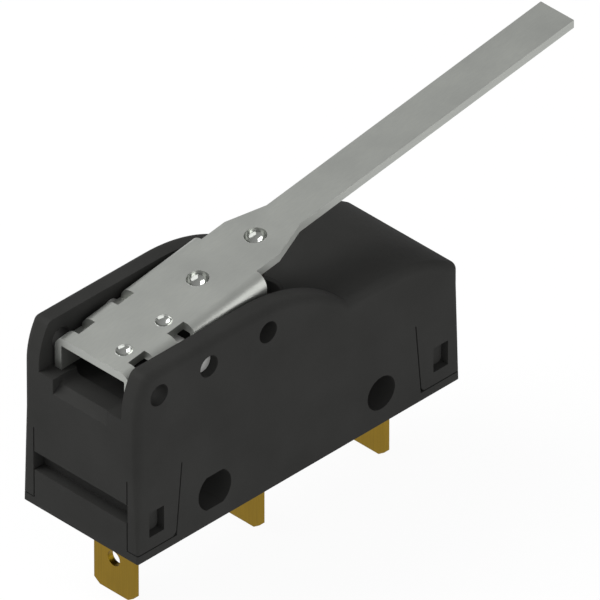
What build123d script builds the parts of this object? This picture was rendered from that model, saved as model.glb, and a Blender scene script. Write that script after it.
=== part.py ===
from build123d import *
from math import cos, radians, sqrt, tan
import os

# A basic switch with a long sheet lever. Sizes are in millimetres.
# It is drawn from the left end of the body, its middle width and its underside: x runs along the body
# towards the lever's tip, y across it and z up. At the end it is moved so that the axis of the round
# mounting hole is the reference point.

# Body outside
body_length = 49.1
body_width = 17.5
edge_radius = 1.0
corner_radius_low = 0.25
corner_growth_end = 12.5
seam_height = 10.25

# Cheeks, the two side walls that carry the lever
cheek_thickness = 2.45
cheek_over_pivot = 3.0
cheek_front_over_sill = 0.3
cheek_front_radius = 10.0
cheek_nose_set_back = 1.6
cheek_nose_radius = 1.05
cheek_flat_end = 18.2
cheek_arch_radius = 21.0

# Shelf over the contacts, and the deck under the lever
shelf_height = 18.5
shelf_start = 22.5
shelf_flat_end = 38.5
shelf_end_radius = 18.0
deck_under_pivot = 4.2
sill_length = 3.6
sill_under_pivot = 2.8
notch_depth = 0.85
notch_width = 8.3
notch_corner_radius = 0.8
notch_chamfer = 0.9
notch_chamfer_start = 0.15

# Hollow for the contacts
side_wall = 1.7
end_wall = 2.6
pocket_end_gap = 0.28
pocket_wall = 0.8
floor_height = 7.4
ceiling_height = 14.0

# Snap legs of the cover and catches of the case
leg_length_low = 5.93
leg_length_high = 6.8
leg_base = 1.0
leg_corner_radius = 0.7
slit = 0.16
window_start = 1.75
window_length = 2.25
window_low = 2.77
window_height = 3.19
catch_margin = 0.15
catch_recess = 0.9
catch_ramp = 0.5
catch_corner_radius = 0.6

# Grooves in both ends
groove_low = 4.7
groove_height = 2.45
groove_depth = 1.5

# Mounting holes
hole_height = 4.1
hole_pitch = 25.4
round_hole_from_left = 37.1
round_hole_radius = 2.1
flat_hole_radius = 2.485
flat_hole_height = 4.3

# Pivot holes in the cheeks, and the pin
pivot_height = 20.8
pivot_spacings = (7.55, 8.96)
pivot_from_left = 10.88
pin_radius = 1.25
pin_clearance = 0.07
pin_recess = 1.1

# Lever
lever_thickness = 1.0
lever_angle = 8.33
lever_over_pivot = 2.723
lever_start = 1.95
lever_side_gap = 0.5
lever_bend_radius = 1.6
lever_inner_radius = 0.15
flange_end = 22.6
flange_over_sill = 0.03
flange_under_pivot = 2.35
flange_mid_end = 13.5
flange_end_depth = 2.6
bend_slots = ((3.58, 6.03), (9.48, 11.93))
slot_depth = 1.35
slot_reach = 3.75
neck_half_width = 4.2
neck_end = 26.1
taper_end = 30.85
blade_width = 5.05
lever_end = 72.92
big_dimple_radius = 1.285
big_dimple_depth = 1.2
dimple_wall = 0.6
boss_bevel = 0.7
small_dimple_radius = 0.975
small_dimple_depth = 0.6
small_dimple_offset = -1.97
small_dimple_spots = (4.75, 10.73)
spare_dimple_from_left = 17.82

# Plunger and its guide bush
plunger_from_left = 26.6
plunger_radius = 1.5
plunger_tip_radius = 0.95
plunger_tip_bevel = 0.5
plunger_shoulder = 17.6
plunger_clearance = 0.08
plunger_gap = 0.1
collar_radius = 2.4
collar_height = 1.0
collar_gap = 0.3
foot_length = 1.0
foot_width = 4.8
well_radius = 2.75
well_depth = 2.5
well_rim_bevel = 0.3
bush_wall = 0.65
bush_rim = 0.6
bush_fit = 0.03

# Terminals
tab_width = 6.06
tab_thickness = 0.8
tab_pitch = 19.17
tab_reach = 10.5
tab_corner_across = 0.87
tab_corner_up = 0.61
tab_hole_radius = 0.935
tab_hole_height = 4.44
tab_fit = 0.03
shoulder_height = 6.4
strip_width = 5.0
strip_margin = 0.4
strip_foot = 2.9

# Contacts
blade_thickness = 0.4
blade_height = 10.9
blade_gap = 0.1
moving_blade_width = 6.0
blade_end = 41.2
blade_shoulder = 1.0
tail_margin = 0.3
contact_from_left = 39.2
contact_radius = 1.6
contact_head = 0.3
contact_stem = 0.7
contact_gap = 0.06
closed_contact_head = 0.5
arm_thickness = 0.65
closed_arm_start = 36.8
stem_fit = 0.02

# Snap spring and its anchor
anchor_start = 6.6
anchor_length = 10.2
anchor_sheet = 0.5
anchor_width = 6.4
anchor_post_height = 11.6
tongue_height = 1.6
tongue_width = 2.0
rivet_radius = 0.55
rivet_head_radius = 1.0
rivet_head = 0.3
rivet_bevel = 0.15
rivet_spots = (9.4, 13.2)
spring_thickness = 0.25
spring_width = 1.8
spring_drop = 0.8
spring_gap = 0.3
window_side_gap = 0.45
window_back = 3.0
spring_end = 34.0

# Worked out from the sizes above
half_width = body_width / 2
cheek_height = pivot_height + cheek_over_pivot
cheek_inside = half_width - cheek_thickness
sill_height = pivot_height - sill_under_pivot
deck_height = pivot_height - deck_under_pivot
notch_height = sill_height - notch_depth
cheek_front_height = sill_height + cheek_front_over_sill
leg_inside = half_width - side_wall
flat_hole_from_left = round_hole_from_left - hole_pitch
pivot_places = (pivot_from_left - pivot_spacings[0], pivot_from_left, pivot_from_left + pivot_spacings[1])
lever_width = 2 * (cheek_inside - lever_side_gap)
lever_rise = tan(radians(lever_angle))
lever_drop = lever_thickness / cos(radians(lever_angle))
tab_places = [body_length / 2 + step * tab_pitch - tab_thickness / 2 for step in (-1, 0, 1)]
pocket_end = tab_places[2] + strip_foot + pocket_end_gap
strip_top = floor_height + tab_thickness
well_floor = shelf_height - well_depth
blade_start = anchor_start + anchor_sheet + blade_gap
blade_axis = blade_start + blade_thickness / 2
blade_top = blade_height + blade_thickness
closed_arm_height = blade_top + contact_head + contact_gap + closed_contact_head
body_middle = body_length / 2

# A length past everything, how far a cut or a joined form runs past a face, and a sliver by which
# compared places may differ
huge = 4 * body_length
past = 1.0
touch = 0.01


def lever_top(x):
    """Height of the lever's upper face over the point x."""
    return pivot_height + lever_over_pivot + lever_rise * (x - pivot_from_left)


def side_face(*points):
    """A closed outline seen from the side, from its corner points (x, z)."""
    return Plane.XZ * make_face(Polyline(*points, close=True))


def across(face, width, middle=0.0):
    """A side outline made into a solid, as wide as said and centred on y = middle."""
    return Pos(0, middle, 0) * extrude(face, width / 2, both=True)


def block(x, y, z):
    """A block from its limits along each axis."""
    size = (x[1] - x[0], y[1] - y[0], z[1] - z[0])
    return Pos((x[0] + x[1]) / 2, (y[0] + y[1]) / 2, (z[0] + z[1]) / 2) * Box(*size)


def post(x, y, z, radius):
    """An upright round bar from its middle and its limits along z."""
    return Pos(x, y, (z[0] + z[1]) / 2) * Cylinder(radius, z[1] - z[0])


def cross_bar(x, z, radius, width):
    """A round bar across the body, centred on its middle width."""
    return Pos(x, 0, z) * Rot(90, 0, 0) * Cylinder(radius, width)


def both_ends(solid):
    """A solid at the left end together with its mirror image at the right end."""
    return solid + mirror(solid, Plane.YZ.offset(body_middle))


def both_sides(solid):
    """A solid on the far side together with its mirror image on the near side."""
    return solid + mirror(solid, Plane.XZ)


def plan(height, corner_radius):
    """The body's plan at a height, with its corners rounded."""
    return Pos(body_middle, 0, height) * RectangleRounded(body_length, body_width, corner_radius)


def foot_form():
    """The lower body, whose corners grow rounder from the underside up."""
    return loft([plan(0, corner_radius_low), plan(corner_growth_end, edge_radius)], ruled=True)


def main_form():
    """The body without cheeks: level over the contacts, then falling in an arc to the right end."""
    end_run = body_length - shelf_flat_end
    end_height = shelf_height - shelf_end_radius + sqrt(shelf_end_radius**2 - end_run**2)
    outline = [
        Line((0, 0), (0, shelf_height)),
        Line((0, shelf_height), (shelf_flat_end, shelf_height)),
        RadiusArc((shelf_flat_end, shelf_height), (body_length, end_height), shelf_end_radius),
        Line((body_length, end_height), (body_length, 0)),
        Line((body_length, 0), (0, 0)),
    ]
    form = across(Plane.XZ * make_face(Curve() + outline), body_width)
    top_sides = [e for e in form.edges() if e.center().Z > seam_height and abs(e.center().Y) > leg_inside]
    right_end = form.edges().filter_by(Axis.Y).filter_by(lambda e: e.center().X > body_length - touch)
    top_end = right_end.sort_by(Axis.Z)[-1:]
    form = fillet(form.edges().filter_by(Axis.Z) + top_sides + top_end, edge_radius)
    return form - block((-past, shelf_start), (-huge, huge), (sill_height, huge))


def cheek():
    """The far cheek: steep front, flat top and an arch that falls to the shelf."""
    foot = seam_height + past
    arch_middle = cheek_height - cheek_arch_radius
    arch_end = cheek_flat_end + sqrt(cheek_arch_radius**2 - (foot - arch_middle) ** 2)
    edges = [
        Line((0, foot), (0, cheek_front_height)),
        RadiusArc((0, cheek_front_height), (cheek_nose_set_back, cheek_height), cheek_front_radius),
        Line((cheek_nose_set_back, cheek_height), (cheek_flat_end, cheek_height)),
        RadiusArc((cheek_flat_end, cheek_height), (arch_end, foot), cheek_arch_radius),
        Line((arch_end, foot), (0, foot)),
    ]
    outline = make_face(Curve() + edges)
    nose = outline.vertices().filter_by(lambda v: v.Y > cheek_height - touch).sort_by(Axis.X)[0]
    outline = Plane.XZ * fillet(nose, cheek_nose_radius)
    wall = across(outline, cheek_thickness, half_width - cheek_thickness / 2)
    outer = wall.faces().sort_by(Axis.Y)[-1]
    return fillet([e for e in outer.edges() if e.center().Z > foot + touch], edge_radius)


def notch():
    """The way between the two ledges of the sill, with a chamfer along its front edge."""
    ramp_run = 2 * notch_chamfer
    ramp_top = notch_chamfer_start + notch_chamfer
    way = side_face(
        (ramp_top - ramp_run, notch_height - ramp_run),
        (ramp_top, notch_height),
        (sill_length + touch, notch_height),
        (sill_length + touch, huge),
        (ramp_top - ramp_run, huge),
    )
    solid = across(way, notch_width)
    return fillet(solid.edges().filter_by(Axis.X).group_by(Axis.Z)[0], notch_corner_radius)


def body_form():
    """The outside of case and cover together, open between the cheeks."""
    upper = main_form() + both_sides(cheek())
    form = (upper & block((-past, huge), (-huge, huge), (corner_growth_end, huge))) + foot_form()
    trough = side_face(
        (-past, sill_height),
        (sill_length, sill_height),
        (sill_length, deck_height),
        (shelf_start, deck_height),
        (shelf_start, shelf_height),
        (body_length, shelf_height),
        (body_length, huge),
        (-past, huge),
    )
    return form - across(trough, 2 * cheek_inside) - notch()


def leg_outline(gap):
    """Side view of one snap leg at the left end: sharp, or smaller by a gap all round with a round corner."""
    low = leg_base + gap
    slope = (leg_length_high - leg_length_low) / (seam_height - leg_base)
    face = make_face(
        Polyline(
            (-past, low),
            (leg_length_low - gap + slope * gap, low),
            (leg_length_high - gap, seam_height),
            (-past, seam_height),
            close=True,
        )
    )
    if gap:
        corner = face.vertices().sort_by(Axis.Y)[:2].sort_by(Axis.X)[-1]
        face = fillet(corner, leg_corner_radius)
    return Plane.XZ * face


def leg_space(gap):
    """The space of the four snap legs, smaller by the gap than their cut-outs in the case."""
    inner = leg_inside + gap
    outer = half_width + past
    leg = across(leg_outline(gap), outer - inner, (outer + inner) / 2)
    return both_ends(both_sides(leg))


def window_block(margin, low, high):
    """One window of a snap leg, or smaller by a margin for the catch, between two limits along y."""
    x = (window_start + margin, window_start + window_length - margin)
    z = (window_low + margin, window_low + window_height - margin)
    return block(x, (low, high), z)


def catch():
    """A catch of the case that stands in a window of the cover, with its outer end rounded."""
    solid = window_block(catch_margin, leg_inside - touch, half_width - catch_recess)
    ramp_edge = solid.faces().sort_by(Axis.Y)[-1].edges().sort_by(Axis.Z)[-1]
    solid = chamfer(ramp_edge, catch_ramp)
    return fillet(solid.edges().filter_by(Axis.Y), catch_corner_radius)


def case():
    """Lower housing: a block with the mounting holes, terminal slots, catches and contact pocket."""
    solid = body_form() & block((-past, huge), (-huge, huge), (-past, seam_height))
    solid -= leg_space(0)
    solid += both_ends(both_sides(catch()))
    solid -= block(
        (end_wall, pocket_end),
        (-leg_inside + pocket_wall, leg_inside - pocket_wall),
        (floor_height, huge),
    )
    groove = block((-past, groove_depth), (-leg_inside, leg_inside), (groove_low, groove_low + groove_height))
    solid -= both_ends(groove)
    solid -= cross_bar(round_hole_from_left, hole_height, round_hole_radius, 2 * body_width)
    flat_hole = cross_bar(flat_hole_from_left, hole_height, flat_hole_radius, 2 * body_width)
    flats = (hole_height - flat_hole_height / 2, hole_height + flat_hole_height / 2)
    solid -= flat_hole & block((0, body_length), (-huge, huge), flats)
    for place in tab_places:
        slot_x = (place - tab_fit, place + tab_thickness + tab_fit)
        slot_y = tab_width / 2 + tab_fit
        solid -= block(slot_x, (-slot_y, slot_y), (-past, floor_height + past))
    for spot in rivet_spots:
        solid -= rivet_room(spot, floor_height)
    foot_x = (tab_places[1], tab_places[1] + strip_foot + tab_fit)
    foot_y = strip_width / 2 + tab_fit
    foot_low = floor_height - tab_thickness - tab_fit
    solid -= block(foot_x, (-foot_y, foot_y), (foot_low, floor_height + past))
    return solid - rivet_room(foot_middle(tab_places[1]), floor_height - tab_thickness)


def cover():
    """Upper housing: cheeks, deck, shelf with the plunger's well, and snap legs with windows."""
    legs = leg_space(slit) - both_ends(both_sides(window_block(0, 0, huge)))
    solid = body_form() & (block((-past, huge), (-huge, huge), (seam_height, huge)) + legs)
    solid -= block(
        (end_wall, pocket_end),
        (-leg_inside + pocket_wall, leg_inside - pocket_wall),
        (0, ceiling_height),
    )
    for place in pivot_places:
        solid -= cross_bar(place, pivot_height, pin_radius + pin_clearance, 2 * body_width)
    solid -= post(plunger_from_left, 0, (well_floor, huge), well_radius)
    rim = [e for e in solid.edges().filter_by(GeomType.CIRCLE) if abs(e.radius - well_radius) < touch]
    solid = chamfer(max(rim, key=lambda e: e.center().Z), well_rim_bevel)
    bush_radius = plunger_radius + plunger_clearance + bush_wall
    return solid - post(plunger_from_left, 0, (0, huge), bush_radius + bush_fit)


def rounded_top(channel, radius):
    """A long form with the two edges along its sloping top rounded."""
    def along_top(edge):
        direction = edge.tangent_at(0)
        return abs(direction.Y) < touch and abs(direction.Z - lever_rise * direction.X) < touch

    return fillet(channel.edges().filter_by(along_top), radius)


def lever():
    """A strip folded down at both sides, dimpled, with a long tapered blade."""
    far = lever_end + past
    sheet = side_face(
        (lever_start, lever_top(lever_start)),
        (lever_end, lever_top(lever_end)),
        (lever_end, lever_top(lever_end) - lever_drop),
        (lever_start, lever_top(lever_start) - lever_drop),
    )
    flange_low = lever_top(flange_end) - flange_end_depth
    channel = side_face(
        (lever_start, sill_height + flange_over_sill),
        (flange_mid_end, pivot_height - flange_under_pivot),
        (flange_end, flange_low),
        (flange_end, lever_top(flange_end)),
        (lever_start, lever_top(lever_start)),
    )
    hollow = side_face(
        (-past, 0),
        (far, 0),
        (far, lever_top(far) - lever_drop),
        (-past, lever_top(-past) - lever_drop),
    )
    outer = rounded_top(across(channel, lever_width), lever_bend_radius)
    inner = rounded_top(across(hollow, lever_width - 2 * lever_thickness), lever_inner_radius)
    half_blade = blade_width / 2
    outline = Polyline(
        (flange_end - lever_bend_radius, -neck_half_width),
        (neck_end, -neck_half_width),
        (taper_end, -half_blade),
        (lever_end, -half_blade),
        (lever_end, half_blade),
        (taper_end, half_blade),
        (neck_end, neck_half_width),
        (flange_end - lever_bend_radius, neck_half_width),
        close=True,
    )
    blade = extrude(make_face(outline), huge) & across(sheet, lever_width)
    solid = (outer - inner) + blade
    for slot in bend_slots:
        slot_low = lever_top((slot[0] + slot[1]) / 2) - slot_depth
        solid -= both_sides(block(slot, (slot_reach, half_width), (slot_low, huge)))
    solid -= cross_bar(pivot_from_left, pivot_height, pin_radius + pin_clearance / 2, body_width)
    ball = (big_dimple_radius**2 + big_dimple_depth**2) / (2 * big_dimple_depth)
    for x in (spare_dimple_from_left, plunger_from_left):
        ball_middle = Pos(x, 0, lever_top(x) + ball - big_dimple_depth)
        top = lever_top(x)
        boss = post(x, 0, (top - big_dimple_depth - dimple_wall, top), big_dimple_radius + dimple_wall)
        boss = chamfer(boss.edges().sort_by(Axis.Z)[0], boss_bevel)
        solid += boss & across(hollow, 3 * big_dimple_radius)
        solid -= ball_middle * Sphere(ball)
    dent = (small_dimple_radius**2 + small_dimple_depth**2) / (2 * small_dimple_depth)
    for x in small_dimple_spots:
        solid -= Pos(x, small_dimple_offset, lever_top(x) + dent - small_dimple_depth) * Sphere(dent)
    return solid


def pivot_pin():
    """The pin that the lever turns on, through both cheeks and short of their outer faces."""
    return cross_bar(pivot_from_left, pivot_height, pin_radius, body_width - 2 * pin_recess)


def plunger():
    """Moulded plunger: slim tip, round stem, collar under the ceiling and a foot over the blade."""
    dimple_low = lever_top(plunger_from_left) - big_dimple_depth - dimple_wall
    tip_top = dimple_low - plunger_gap
    collar_top = ceiling_height - collar_gap
    foot_low = blade_top + plunger_gap
    tip = post(plunger_from_left, 0, (plunger_shoulder, tip_top), plunger_tip_radius)
    tip = chamfer(tip.edges().sort_by(Axis.Z)[-1], plunger_tip_bevel)
    stem = post(plunger_from_left, 0, (collar_top, plunger_shoulder), plunger_radius)
    collar = post(plunger_from_left, 0, (collar_top - collar_height, collar_top), collar_radius)
    foot = block(
        (plunger_from_left - foot_length / 2, plunger_from_left + foot_length / 2),
        (-foot_width / 2, foot_width / 2),
        (foot_low, collar_top - collar_height),
    )
    foot = fillet(foot.faces().sort_by(Axis.Z)[0].edges().filter_by(Axis.Y), foot_length * 0.4)
    return tip + stem + collar + foot


def plunger_bush():
    """Guide bush of the plunger: a sleeve through the shelf with a rim on the well's floor."""
    bore = plunger_radius + plunger_clearance
    sleeve = post(plunger_from_left, 0, (ceiling_height, well_floor + bush_rim), bore + bush_wall)
    rim = post(plunger_from_left, 0, (well_floor, well_floor + bush_rim), well_radius - bush_fit)
    return sleeve + rim - post(plunger_from_left, 0, (0, huge), bore)


def tab(place):
    """The part of a terminal below the body, with its corners cut and its wire hole."""
    half = tab_width / 2
    face = make_face(
        Polyline(
            (-half, 0),
            (-half, tab_corner_up - tab_reach),
            (tab_corner_across - half, -tab_reach),
            (half - tab_corner_across, -tab_reach),
            (half, tab_corner_up - tab_reach),
            (half, 0),
            close=True,
        )
    )
    face -= Pos(0, tab_hole_height - tab_reach) * Circle(tab_hole_radius)
    return extrude(Plane.YZ.offset(place) * face, tab_thickness)


def rounded_bend(solid, x, z):
    """A terminal with the outside of its bend rounded, where the bend's outer corner is at x, z."""
    def near(edge):
        return abs(edge.center().X - x) + abs(edge.center().Z - z) < touch

    return fillet(solid.edges().filter_by(Axis.Y).filter_by(near), tab_thickness * 0.9)


def terminal(place, column_top):
    """The upright part of a brass terminal: tab below the body and column through the case."""
    half = strip_width / 2
    column = block((place, place + tab_thickness), (-tab_width / 2, tab_width / 2), (0, shoulder_height))
    neck = block((place, place + tab_thickness), (-half, half), (shoulder_height, column_top))
    return tab(place) + column + neck


def strip_terminal(place, strip_end):
    """A terminal whose top is bent into a strip that lies along the case's floor."""
    half = strip_width / 2
    solid = terminal(place, strip_top) + block((place, strip_end), (-half, half), (floor_height, strip_top))
    return rounded_bend(solid, place, strip_top)


def common_terminal():
    """The terminal that carries the moving blade through the spring anchor."""
    solid = strip_terminal(tab_places[0], anchor_start + anchor_length)
    for spot in rivet_spots:
        solid -= post(spot, 0, (0, huge), rivet_radius + stem_fit)
    return solid


def foot_middle(place):
    """Where the rivet stands that holds a contact's arm on the foot of the terminal at a place."""
    return place + (tab_thickness + strip_foot) / 2


def footed_terminal(place, top):
    """A terminal whose top is bent into a short foot under the arm of a contact."""
    half = strip_width / 2
    foot = block((place, place + strip_foot), (-half, half), (top - tab_thickness, top))
    solid = rounded_bend(terminal(place, top) + foot, place, top)
    return solid - post(foot_middle(place), 0, (0, huge), rivet_radius + stem_fit)


def contact_arm(x, low, rivet_spot):
    """A flat arm that carries a contact, from its limits along x, its underside and its rivet's place."""
    arm = block(x, (-strip_width / 2, strip_width / 2), (low, low + arm_thickness))
    arm -= post(rivet_spot, 0, (0, huge), rivet_radius + stem_fit)
    return arm - post(contact_from_left, 0, (0, huge), contact_stem + stem_fit)


def open_terminal():
    """The middle terminal, whose foot lies in the case's floor."""
    return footed_terminal(tab_places[1], floor_height)


def open_arm():
    """The arm of the lower contact, flat on the case's floor."""
    end = contact_from_left + contact_radius + strip_margin
    return contact_arm((tab_places[1], end), floor_height, foot_middle(tab_places[1]))


def closed_terminal():
    """The right terminal, whose foot is high up under the arm of the upper contact."""
    return footed_terminal(tab_places[2], closed_arm_height)


def closed_arm():
    """The arm of the upper contact, from the right terminal back over the moving contact."""
    end = tab_places[2] + strip_foot
    return contact_arm((closed_arm_start, end), closed_arm_height, foot_middle(tab_places[2]))


def contact_button(low, high, stem_low, stem_high):
    """A contact rivet: a round head between two heights and a thinner stem between two others."""
    head = post(contact_from_left, 0, (low, high), contact_radius)
    return head + post(contact_from_left, 0, (stem_low, stem_high), contact_stem)


def closed_contact():
    """Upper fixed contact, riveted into the arm."""
    low = closed_arm_height - closed_contact_head
    return contact_button(low, closed_arm_height, closed_arm_height, closed_arm_height + arm_thickness)


def open_contact():
    """Lower fixed contact, riveted into its arm."""
    arm_top = floor_height + arm_thickness
    return contact_button(arm_top, arm_top + contact_head, floor_height, arm_top)


def moving_contact():
    """Contact rivet with a head on both faces of the moving blade."""
    lower = post(contact_from_left, 0, (blade_height - contact_head, blade_height), contact_radius)
    stem = post(contact_from_left, 0, (blade_height, blade_top), contact_stem)
    upper = post(contact_from_left, 0, (blade_top, blade_top + contact_head), contact_radius)
    return lower + stem + upper


def moving_blade():
    """Stiff blade from the anchor's post to the moving contact, with a window for the snap spring."""
    half = moving_blade_width / 2
    tail_half = contact_radius + tail_margin
    outline = Polyline(
        (blade_axis, -half),
        (spring_end + blade_shoulder, -half),
        (contact_from_left - contact_radius, -tail_half),
        (blade_end, -tail_half),
        (blade_end, tail_half),
        (contact_from_left - contact_radius, tail_half),
        (spring_end + blade_shoulder, half),
        (blade_axis, half),
        close=True,
    )
    solid = Pos(0, 0, blade_height) * extrude(make_face(outline), blade_thickness)
    half_sheet = blade_thickness / 2
    solid += cross_bar(blade_axis, blade_height + half_sheet, half_sheet, moving_blade_width)
    window_half = spring_width / 2 + window_side_gap
    window_x = (anchor_start + anchor_length - window_back, spring_end)
    window = block(window_x, (-window_half, window_half), (0, huge))
    return solid - window - post(contact_from_left, 0, (0, huge), contact_stem + stem_fit)


def spring_anchor():
    """Bracket riveted on the common terminal: a post behind the blade and a tongue for the spring."""
    end = anchor_start + anchor_length
    base_top = strip_top + anchor_sheet
    half_base = strip_width / 2
    half_post = anchor_width / 2
    half_tongue = tongue_width / 2
    tongue_top = base_top + tongue_height
    heel_x = (anchor_start, anchor_start + anchor_sheet)
    solid = block((anchor_start, end), (-half_base, half_base), (strip_top, base_top))
    solid += block(heel_x, (-half_post, half_post), (strip_top, anchor_post_height))
    solid += block((end - anchor_sheet, end), (-half_tongue, half_tongue), (strip_top, tongue_top))
    for spot in rivet_spots:
        solid -= post(spot, 0, (0, huge), rivet_radius + stem_fit)
    return solid


def rivet(spot, low, top):
    """A rivet through two sheets that lie between two heights, headed on both sides."""
    shank = post(spot, 0, (low, top), rivet_radius)
    lower = post(spot, 0, (low - rivet_head, low), rivet_head_radius)
    upper = post(spot, 0, (top, top + rivet_head), rivet_head_radius)
    upper = chamfer(upper.edges().sort_by(Axis.Z)[-1], rivet_bevel)
    return lower + shank + upper


def rivet_room(spot, low):
    """The recess in the case for a rivet's lower head under a sheet whose underside is at a height."""
    return post(spot, 0, (low - rivet_head - stem_fit, floor_height + past), rivet_head_radius + stem_fit)


def anchor_rivet(spot):
    """A rivet through the anchor and the common terminal's strip."""
    return rivet(spot, floor_height, strip_top + anchor_sheet)


def arm_rivet(place, low):
    """The rivet that holds a contact's arm, with its underside at a height, on the terminal at a place."""
    return rivet(foot_middle(place), low - tab_thickness, low + arm_thickness)


def snap_spring():
    """Bowed leaf spring from the anchor's tongue to the far end of the blade's window."""
    start_x = anchor_start + anchor_length + spring_gap
    low = strip_top + anchor_sheet + tongue_height - spring_thickness
    end_low = blade_height
    middle_x = (start_x + spring_end) / 2
    middle_low = (low + end_low) / 2 - spring_drop
    upper = spring_thickness
    edges = [
        ThreePointArc((start_x, low), (middle_x, middle_low), (spring_end, end_low)),
        Line((spring_end, end_low), (spring_end, end_low + upper)),
        ThreePointArc((spring_end, end_low + upper), (middle_x, middle_low + upper), (start_x, low + upper)),
        Line((start_x, low + upper), (start_x, low)),
    ]
    return across(Plane.XZ * make_face(Curve() + edges), spring_width)


nodes = {
    "case": case(),
    "cover": cover(),
    "common_terminal": common_terminal(),
    "open_terminal": open_terminal(),
    "closed_terminal": closed_terminal(),
    "open_arm": open_arm(),
    "open_arm_rivet": arm_rivet(tab_places[1], floor_height),
    "closed_arm": closed_arm(),
    "closed_arm_rivet": arm_rivet(tab_places[2], closed_arm_height),
    "closed_contact": closed_contact(),
    "open_contact": open_contact(),
    "spring_anchor": spring_anchor(),
    "anchor_rivet_left": anchor_rivet(rivet_spots[0]),
    "anchor_rivet_right": anchor_rivet(rivet_spots[1]),
    "moving_blade": moving_blade(),
    "snap_spring": snap_spring(),
    "moving_contact": moving_contact(),
    "plunger": plunger(),
    "plunger_bush": plunger_bush(),
    "pivot_pin": pivot_pin(),
    "lever": lever(),
}

to_reference = Pos(-round_hole_from_left, 0, -hole_height)
os.makedirs("parts", exist_ok=True)
for name, solid in nodes.items():
    export_step(to_reference * solid, f"parts/{name}.step")
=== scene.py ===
import math

import bmesh
import bpy
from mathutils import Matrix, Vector


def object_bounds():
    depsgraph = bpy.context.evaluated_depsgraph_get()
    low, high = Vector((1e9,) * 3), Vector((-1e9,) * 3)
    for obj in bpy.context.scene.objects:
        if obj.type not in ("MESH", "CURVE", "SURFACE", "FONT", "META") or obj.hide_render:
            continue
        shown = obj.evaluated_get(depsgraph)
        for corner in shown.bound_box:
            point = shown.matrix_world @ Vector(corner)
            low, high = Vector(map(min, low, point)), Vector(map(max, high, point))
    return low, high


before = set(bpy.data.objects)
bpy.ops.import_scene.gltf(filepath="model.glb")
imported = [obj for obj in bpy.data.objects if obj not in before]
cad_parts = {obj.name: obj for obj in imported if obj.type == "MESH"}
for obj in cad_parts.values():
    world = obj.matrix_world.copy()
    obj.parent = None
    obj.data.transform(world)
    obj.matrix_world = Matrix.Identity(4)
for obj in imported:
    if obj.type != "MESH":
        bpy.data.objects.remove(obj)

# A micro switch with a long sheet lever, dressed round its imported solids. Lengths are in metres, and MM
# turns millimetres into metres.
MM = 0.001
cad_low, cad_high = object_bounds()

# The photograph's view: straight-sided isometric from the near left corner, drawn with a very long lens
view_azimuth = math.radians(-45.0)
view_elevation = math.radians(35.264)
view_middle = Vector((-3.69, 0.0, 9.795)) * MM
picture_width = 64.86 * MM
camera_lens = 1650.0
camera_sensor = 36.0

# The camera sees from this many times nearer than the switch to as many times farther
clip_factor = 10

# The sky's bright side, its strengths away from it and towards it, and between which cosines it changes
sky_bright_side = (-0.3, 0.65, 0.7)
sky_dark = 0.3
sky_bright = 0.62
sky_change = (-0.6, 1.0)

# The floor's reach each way, its grey, how much of it glows for soft light thrown up at the sides, and how
# much of it glows where it is seen, which leaves the rest to show the shadow
floor_reach = 3000 * MM
floor_grey = (0.8, 0.8, 0.8, 1.0)
floor_glow = 0.6
floor_glow_seen = 0.94
white = (1.0, 1.0, 1.0, 1.0)

# Square soft lamps: name, direction they stand in, power in watts and side length, and how far off they are
lamps = (
    ("key_from_back_left", (-0.45, 0.55, 0.7), 2.8, 350 * MM),
    ("fill_from_front", (-0.1, -1.0, 0.1), 4.7, 900 * MM),
)
lamp_distance = 500 * MM

# Mouldings: their cloudy patches and grain, how deep and strong the grain looks, where in the clouds the
# colour turns from dark to light, and how far the grain moves the roughness. The grain is drawn coarser
# than the real one, so that it shows.
mottle_size = 7.0 * MM
mottle_detail = 4.0
mottle_change = (0.3, 0.7)
grain_size = 0.35 * MM
grain_detail = 3.0
grain_depth = 0.02 * MM
grain_strength = 0.25
grain_roughness = (-0.06, 0.08)

# The spark-eroded tool leaves the mouldings this much of the mirror shine that smooth plastic has
moulding_shine = 0.04

# Metals: their drawn lines and handling marks, in the same way. The lines are coarser than real too.
line_size = 0.16 * MM
line_detail = 2.0
line_depth = 0.01 * MM
line_strength = 0.15
line_change = (0.3, 0.65)
line_lift = 0.2
handling_size = 5.0 * MM
handling_detail = 3.0
handling_roughness = (-0.05, 0.07)

# How patterns are squeezed along an axis, which draws their cells out into lines, or laid flat
lines_along_x = (0.02, 1.0, 1.0)
lines_along_y = (1.0, 0.05, 1.0)
lines_along_z = (1.0, 1.0, 0.03)
no_lines = (1.0, 1.0, 1.0)
laid_flat = (1.0, 1.0, 0.0)

# The lever's pressed dimples: middle along and across, and radius, from the round mounting hole's axis
big_dimple = 1.285 * MM
small_dimple = 0.975 * MM
lever_dimples = (
    (-19.28 * MM, 0.0, big_dimple),
    (-10.5 * MM, 0.0, big_dimple),
    (-32.35 * MM, -1.97 * MM, small_dimple),
    (-26.37 * MM, -1.97 * MM, small_dimple),
)
dimple_colour = "#a4a6a2"
dimple_roughness = 0.13
dimple_rim_share = 0.96
chatter_size = 0.5 * MM
chatter_detail = 2.0
chatter_depth = 0.05 * MM
chatter_strength = 0.5

# Corners closer than this are one, and edges that bend more than this stay sharp
weld_distance = 0.002 * MM
sharp_angle = math.radians(28)

# Places of a mix's two colours among its inputs, and of its result among its outputs
mix_first = 6
mix_second = 7
mix_result = 2


def linear(hex_colour):
    """An sRGB hex colour as linear red, green, blue and alpha."""
    channels = [int(hex_colour[i:i + 2], 16) / 255 for i in (1, 3, 5)]
    return tuple(c / 12.92 if c <= 0.04045 else ((c + 0.055) / 1.055) ** 2.4 for c in channels) + (1.0,)


def per_metre(size):
    """A texture's scale that gives it one cell in each such size."""
    return 1.0 / size


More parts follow.
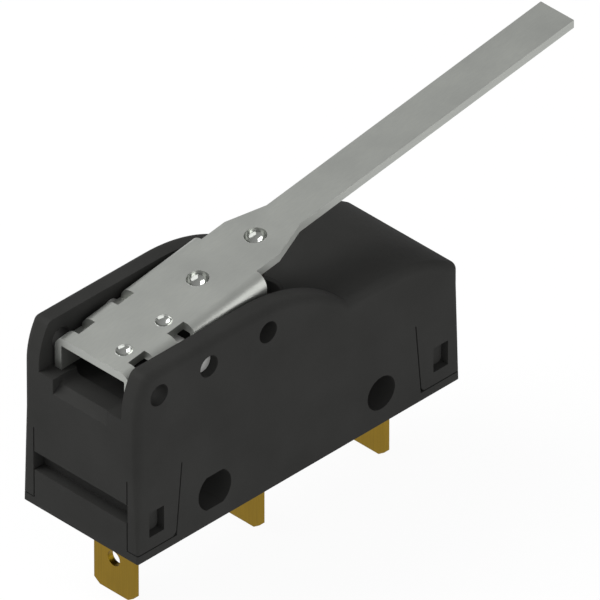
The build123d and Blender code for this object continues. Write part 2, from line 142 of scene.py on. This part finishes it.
def add_node(tree, kind, inputs=None, **settings):
    """Adds a node, sets its properties, and fills or links its inputs."""
    made = tree.nodes.new(kind)
    for name, value in settings.items():
        setattr(made, name, value)
    for name, value in (inputs or {}).items():
        if isinstance(value, bpy.types.NodeSocket):
            tree.links.new(value, made.inputs[name])
        else:
            made.inputs[name].default_value = value
    return made


def new_material(name):
    """An empty node material and its tree."""
    made = bpy.data.materials.new(name)
    made.use_nodes = True
    made.node_tree.nodes.clear()
    return made, made.node_tree


def two_tone(tree, pattern, change, dark, light):
    """The colour from dark to light that a pattern picks, as it rises between two values."""
    made = add_node(tree, "ShaderNodeValToRGB", {"Fac": pattern})
    for stop, position, colour in zip(made.color_ramp.elements, change, (dark, light)):
        stop.position = position
        stop.color = linear(colour)
    return made.outputs["Color"]


def uneven_roughness(tree, pattern, roughness, spread):
    """A roughness that a pattern moves down and up by the spread."""
    return add_node(
        tree,
        "ShaderNodeMapRange",
        {"Value": pattern, "To Min": roughness + spread[0], "To Max": roughness + spread[1]},
    ).outputs["Result"]


def finish_surface(tree, inputs):
    """Gives a material its shader and its output."""
    shader = add_node(tree, "ShaderNodeBsdfPrincipled", inputs)
    add_node(tree, "ShaderNodeOutputMaterial", {"Surface": shader.outputs["BSDF"]})


def moulding(name, dark, light, roughness):
    """Plastic injection moulded in a spark-eroded tool: finely grained, matt, faintly cloudy."""
    made, tree = new_material(name)
    place = add_node(tree, "ShaderNodeTexCoord").outputs["Object"]
    mottle = add_node(
        tree,
        "ShaderNodeTexNoise",
        {"Vector": place, "Scale": per_metre(mottle_size), "Detail": mottle_detail},
    ).outputs["Fac"]
    grain = add_node(
        tree,
        "ShaderNodeTexNoise",
        {"Vector": place, "Scale": per_metre(grain_size), "Detail": grain_detail},
    ).outputs["Fac"]
    bump = add_node(
        tree,
        "ShaderNodeBump",
        {"Height": grain, "Strength": grain_strength, "Distance": grain_depth},
    ).outputs["Normal"]
    finish_surface(
        tree,
        {
            "Base Color": two_tone(tree, mottle, mottle_change, dark, light),
            "Roughness": uneven_roughness(tree, grain, roughness, grain_roughness),
            "Specular IOR Level": moulding_shine,
            "Normal": bump,
        },
    )
    return made


def dimple_mask(tree, place, dimples):
    """1 inside the pressed dimples and 0 on the flat sheet."""
    flat = add_node(tree, "ShaderNodeMapping", {"Vector": place, "Scale": laid_flat}).outputs["Vector"]
    mask = None
    for x, y, radius in dimples:
        away = add_node(tree, "ShaderNodeVectorMath", {0: flat, 1: (x, y, 0.0)}, operation="DISTANCE")
        inside = add_node(
            tree,
            "ShaderNodeMapRange",
            {
                "Value": away.outputs["Value"],
                "From Min": radius,
                "From Max": radius * dimple_rim_share,
                "To Min": 0.0,
                "To Max": 1.0,
            },
        ).outputs["Result"]
        if mask is not None:
            inside = add_node(tree, "ShaderNodeMath", {0: mask, 1: inside}, operation="MAXIMUM").outputs[0]
        mask = inside
    return mask


def worked_metal(name, dark, light, roughness, squeeze, metallic=1.0, dimples=()):
    """Rolled, drawn or turned metal: satin, with fine lines along the work and a faint cloud of handling."""
    made, tree = new_material(name)
    place = add_node(tree, "ShaderNodeTexCoord").outputs["Object"]
    squeezed = add_node(tree, "ShaderNodeMapping", {"Vector": place, "Scale": squeeze}).outputs["Vector"]
    lines = add_node(
        tree,
        "ShaderNodeTexNoise",
        {"Vector": squeezed, "Scale": per_metre(line_size), "Detail": line_detail},
    ).outputs["Fac"]
    handling = add_node(
        tree,
        "ShaderNodeTexNoise",
        {"Vector": place, "Scale": per_metre(handling_size), "Detail": handling_detail},
    ).outputs["Fac"]
    wear = add_node(
        tree,
        "ShaderNodeMath",
        {0: lines, 1: handling, 2: line_lift},
        operation="MULTIPLY_ADD",
    ).outputs[0]
    colour = two_tone(tree, wear, line_change, dark, light)
    rough = uneven_roughness(tree, handling, roughness, handling_roughness)
    normal = add_node(
        tree,
        "ShaderNodeBump",
        {"Height": lines, "Strength": line_strength, "Distance": line_depth},
    ).outputs["Normal"]
    if dimples:
        # The punch has burnished the dimples: glossier than the sheet, with faint chatter marks
        mask = dimple_mask(tree, place, dimples)
        rough = add_node(
            tree,
            "ShaderNodeMapRange",
            {"Value": mask, "To Min": rough, "To Max": dimple_roughness},
        ).outputs["Result"]
        colour = add_node(
            tree,
            "ShaderNodeMix",
            {"Factor": mask, mix_first: colour, mix_second: linear(dimple_colour)},
            data_type="RGBA",
        ).outputs[mix_result]
        chatter = add_node(
            tree,
            "ShaderNodeTexNoise",
            {"Vector": place, "Scale": per_metre(chatter_size), "Detail": chatter_detail},
        ).outputs["Fac"]
        chatter = add_node(tree, "ShaderNodeMath", {0: chatter, 1: mask}, operation="MULTIPLY").outputs[0]
        normal = add_node(
            tree,
            "ShaderNodeBump",
            {"Height": chatter, "Strength": chatter_strength, "Distance": chatter_depth, "Normal": normal},
        ).outputs["Normal"]
    finish_surface(tree, {"Base Color": colour, "Metallic": metallic, "Roughness": rough, "Normal": normal})
    return made


# Glass-filled nylon: near black and matt, a little greyer where light grazes it
body_nylon = moulding("moulded_glass_filled_nylon", "#282827", "#2c2c2b", 0.65)

# Acetal: a warmer, smoother black that slides well
plunger_acetal = moulding("moulded_acetal", "#2a2624", "#322e2b", 0.4)

# Rolled stainless sheet: plain grey, satin, with faint lines along the lever
lever_steel = worked_metal(
    "rolled_stainless_sheet", "#a3a5a1", "#aaaca7", 0.4, lines_along_x, metallic=0.92, dimples=lever_dimples
)

# Ground steel rod: its cut end is scored all over, so it shows pale and only half as a mirror
pin_steel = worked_metal("ground_steel_pin", "#b4b4b2", "#c4c4c2", 0.4, lines_along_y, metallic=0.5)

# Rolled brass sheet: olive yellow, satin, with lines up the tabs
tab_brass = worked_metal("rolled_brass_sheet", "#7d6414", "#8a6e18", 0.38, lines_along_z)

# Drawn brass: paler and brighter, where the rivets were closed
rivet_brass = worked_metal("drawn_brass_rivet", "#a07f3a", "#b8954a", 0.3, no_lines)

# Rolled phosphor bronze: reddish and bright, with lines along the blade
spring_bronze = worked_metal("rolled_phosphor_bronze", "#a56f3f", "#b98150", 0.3, lines_along_x)

# Turned silver: nearly white, with a soft shine
contact_silver = worked_metal("turned_silver_contact", "#c9c8c2", "#e2e1dc", 0.25, no_lines)

# Which solids are made of what
material_of = {
    "case": body_nylon,
    "cover": body_nylon,
    "plunger": plunger_acetal,
    "plunger_bush": plunger_acetal,
    "lever": lever_steel,
    "pivot_pin": pin_steel,
    "common_terminal": tab_brass,
    "open_terminal": tab_brass,
    "open_arm": tab_brass,
    "closed_terminal": tab_brass,
    "closed_arm": tab_brass,
    "spring_anchor": tab_brass,
    "open_arm_rivet": rivet_brass,
    "closed_arm_rivet": rivet_brass,
    "anchor_rivet_left": rivet_brass,
    "anchor_rivet_right": rivet_brass,
    "moving_blade": spring_bronze,
    "snap_spring": spring_bronze,
    "moving_contact": contact_silver,
    "closed_contact": contact_silver,
    "open_contact": contact_silver,
}


def dress(node, material):
    """Gives a solid its material and smooth curved faces, with its sharp edges kept."""
    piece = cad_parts[node]
    piece.data.materials.clear()
    piece.data.materials.append(material)
    for face in piece.data.polygons:
        face.use_smooth = True
    weld = piece.modifiers.new("weld", "WELD")
    weld.merge_threshold = weld_distance
    split = piece.modifiers.new("split", "EDGE_SPLIT")
    split.split_angle = sharp_angle


def any_ray(tree, *kinds):
    """1 for a ray of any of the kinds, and 0 for the others."""
    rays = add_node(tree, "ShaderNodeLightPath").outputs
    found = rays[kinds[0]]
    for kind in kinds[1:]:
        found = add_node(tree, "ShaderNodeMath", {0: found, 1: rays[kind]}, operation="MAXIMUM").outputs[0]
    return found


def pale_floor():
    """Matt grey that mostly glows: white where it is seen, with the rest left to hold a shadow."""
    made, tree = new_material("pale_floor")
    share = add_node(
        tree,
        "ShaderNodeMapRange",
        {
            "Value": any_ray(tree, "Is Camera Ray", "Is Glossy Ray", "Is Transmission Ray"),
            "To Min": floor_glow,
            "To Max": floor_glow_seen,
        },
    ).outputs["Result"]
    matt = add_node(tree, "ShaderNodeBsdfDiffuse", {"Color": floor_grey}).outputs["BSDF"]
    glow = add_node(tree, "ShaderNodeEmission", {"Color": white, "Strength": 1.0}).outputs["Emission"]
    mixed = add_node(tree, "ShaderNodeMixShader", {"Fac": share, 1: matt, 2: glow})
    add_node(tree, "ShaderNodeOutputMaterial", {"Surface": mixed.outputs["Shader"]})
    return made


def build_floor():
    """A wide flat floor under the tabs."""
    shape = bmesh.new()
    bmesh.ops.create_grid(shape, x_segments=1, y_segments=1, size=floor_reach)
    bmesh.ops.translate(shape, verts=shape.verts, vec=(0, 0, cad_low.z))
    mesh = bpy.data.meshes.new("floor")
    shape.to_mesh(mesh)
    shape.free()
    mesh.materials.append(pale_floor())
    floor = bpy.data.objects.new("floor", mesh)
    bpy.context.scene.collection.objects.link(floor)


def build_world():
    """A soft sky, brightest high at the back, that shows white to the camera."""
    world = bpy.data.worlds.new("studio")
    bpy.context.scene.world = world
    world.use_nodes = True
    tree = world.node_tree
    tree.nodes.clear()
    direction = add_node(tree, "ShaderNodeTexCoord").outputs["Generated"]
    facing = add_node(
        tree,
        "ShaderNodeVectorMath",
        {0: direction, 1: sky_bright_side},
        operation="DOT_PRODUCT",
    ).outputs["Value"]
    sky = add_node(
        tree,
        "ShaderNodeMapRange",
        {
            "Value": facing,
            "From Min": sky_change[0],
            "From Max": sky_change[1],
            "To Min": sky_dark,
            "To Max": sky_bright,
        },
    ).outputs["Result"]
    strength = add_node(
        tree,
        "ShaderNodeMapRange",
        {"Value": any_ray(tree, "Is Camera Ray", "Is Transmission Ray"), "To Min": sky, "To Max": 1.0},
    ).outputs["Result"]
    light = add_node(tree, "ShaderNodeBackground", {"Color": white, "Strength": strength})
    add_node(tree, "ShaderNodeOutputWorld", {"Surface": light.outputs["Background"]})


def stand_off(name, data, direction, distance):
    """Puts a lamp or the camera off in a direction, looking back at the middle of the view."""
    holder = bpy.data.objects.new(name, data)
    bpy.context.scene.collection.objects.link(holder)
    back = Vector(direction).normalized()
    holder.location = view_middle + back * distance
    holder.rotation_mode = "QUATERNION"
    holder.rotation_quaternion = back.to_track_quat("Z", "Y")
    return holder


def add_lamp(name, direction, power, size):
    """A square soft lamp that lights the switch and isn't seen itself."""
    lamp = bpy.data.lights.new(name, "AREA")
    lamp.energy = power
    lamp.size = size
    holder = stand_off(name, lamp, direction, lamp_distance)
    holder.visible_camera = False


def build_camera():
    """The camera of the photograph's view."""
    camera = bpy.data.cameras.new("camera")
    camera.lens = camera_lens
    camera.sensor_width = camera_sensor
    level = math.cos(view_elevation)
    back = (math.sin(view_azimuth) * level, -math.cos(view_azimuth) * level, math.sin(view_elevation))
    distance = picture_width * camera_lens / camera_sensor
    camera.clip_start = distance / clip_factor
    camera.clip_end = distance * clip_factor
    bpy.context.scene.camera = stand_off("camera", camera, back, distance)


for node, material in material_of.items():
    dress(node, material)
build_floor()
build_world()
for lamp in lamps:
    add_lamp(*lamp)
build_camera()
bpy.context.scene.view_settings.view_transform = "Standard"
